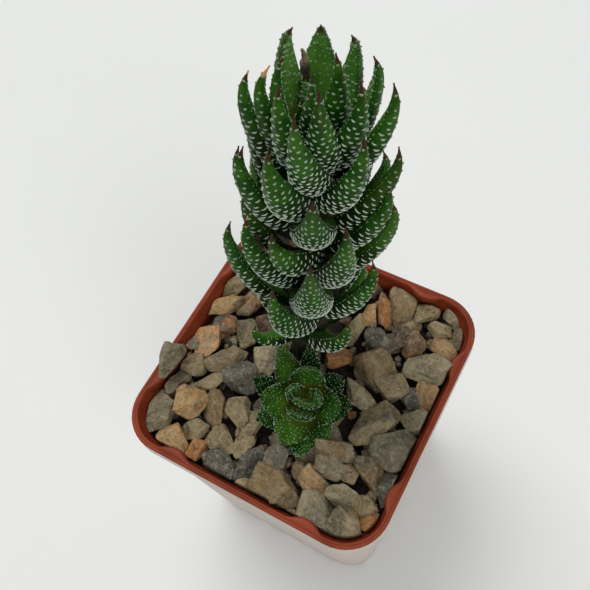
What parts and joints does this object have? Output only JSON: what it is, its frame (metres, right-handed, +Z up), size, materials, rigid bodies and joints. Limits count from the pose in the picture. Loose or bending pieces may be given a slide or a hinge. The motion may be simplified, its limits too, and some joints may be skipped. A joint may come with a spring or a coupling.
{
  "type": "potted succulent plant",
  "caption": "Square nursery pot of gravel-topped soil holding an upright stem of thick pointed leaves and a small rosette growing at its foot.",
  "frame": {"origin": "centre of the pot's underside, on the surface it stands on", "axes": "+Z up, X and Y along the sides of the square pot; the small rosette grows on the -Y side of the main stem"},
  "size_m": [0.083, 0.083, 0.2113],
  "materials": {
    "pot": "matt moulded red-brown plastic",
    "soil": "matt damp potting soil",
    "gravel": "matt washed river gravel in mixed browns and greys",
    "rim_stone": "matt grey stone",
    "leaf": "waxy dark green leaf with raised white dots"
  },
  "bodies": {
    "root": {"pot": "pot", "soil": "soil", "gravel": "gravel", "rim_stone": "rim_stone", "main_stem": "leaf", "offset_rosette": "leaf"}
  },
  "joints": []
}
